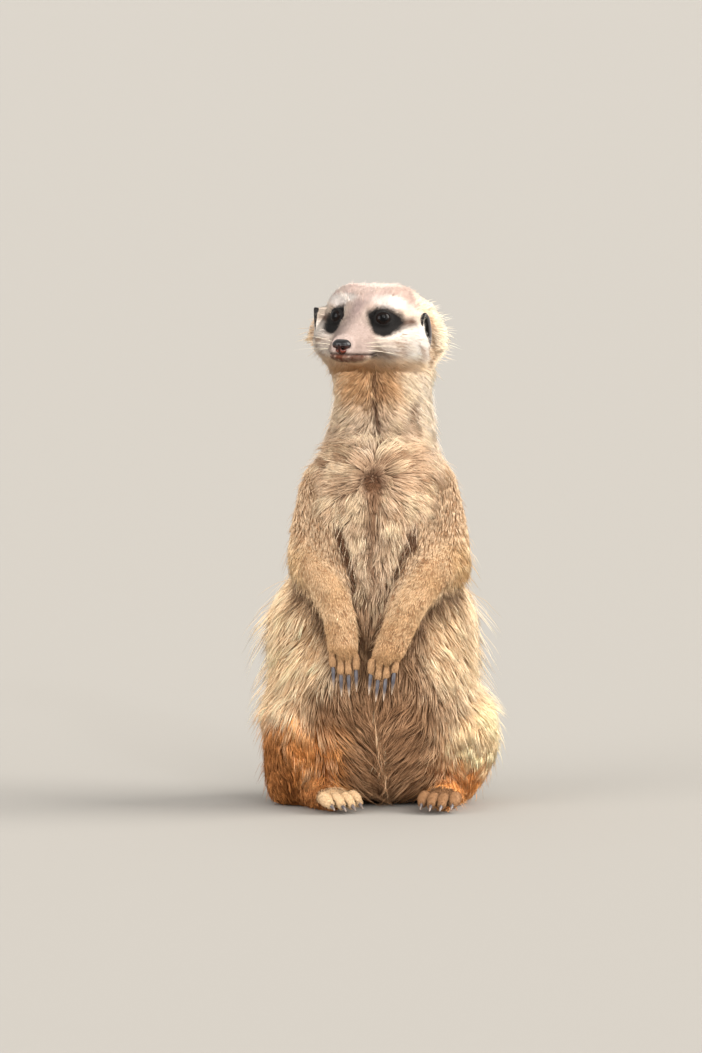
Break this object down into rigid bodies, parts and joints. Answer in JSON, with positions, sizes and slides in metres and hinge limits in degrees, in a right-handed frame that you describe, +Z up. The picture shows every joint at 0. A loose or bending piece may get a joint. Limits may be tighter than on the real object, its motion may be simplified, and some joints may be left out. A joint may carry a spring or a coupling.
{
  "type": "meerkat",
  "caption": "Life-size still model of a meerkat sitting upright on its haunches, head turned to its right, forepaws hanging over the belly and tail laid on the floor behind.",
  "frame": {"origin": "on the floor, in the flat of the rump under the trunk", "axes": "+Z up, -Y the way the body faces, +X to the animal's left"},
  "size_m": [0.1272, 0.2907, 0.2791],
  "materials": {
    "body_fur": "soft cream to fawn fur with brown roots",
    "face_fur": "short pale grey and cream fur with black-brown eye patches",
    "leg_fur": "rust-orange fur with dark brown roots",
    "paw_fur": "very short tan fur",
    "tail_tip_fur": "black-brown fur",
    "ear_skin": "dark bare skin with a thin silver-grey fringe",
    "eye": "wet, near-black dark brown",
    "nose_leather": "moist black leather, red-brown round the nostrils",
    "claw": "slate-grey horn, paler at the tips"
  },
  "bodies": {
    "root": {"head": "face_fur", "neck": "body_fur", "chest": "body_fur", "abdomen": "body_fur", "upper_arm_right": "body_fur", "forearm_right": "body_fur", "hand_right": "paw_fur", "thigh_right": "leg_fur", "shank_right": "leg_fur", "foot_right": "paw_fur", "ear_right": "ear_skin", "eye_right": "eye", "claw_hand_right_1": "claw", "claw_foot_right_1": "claw", "claw_hand_right_2": "claw", "claw_foot_right_2": "claw", "claw_hand_right_3": "claw", "claw_foot_right_3": "claw", "claw_hand_right_4": "claw", "claw_foot_right_4": "claw", "upper_arm_left": "body_fur", "forearm_left": "body_fur", "hand_left": "paw_fur", "thigh_left": "leg_fur", "shank_left": "leg_fur", "foot_left": "paw_fur", "ear_left": "ear_skin", "eye_left": "eye", "claw_hand_left_1": "claw", "claw_foot_left_1": "claw", "claw_hand_left_2": "claw", "claw_foot_left_2": "claw", "claw_hand_left_3": "claw", "claw_foot_left_3": "claw", "claw_hand_left_4": "claw", "claw_foot_left_4": "claw", "nose": "nose_leather", "tail_base": "body_fur", "tail_middle": "body_fur", "tail_tip": "tail_tip_fur"}
  },
  "joints": []
}
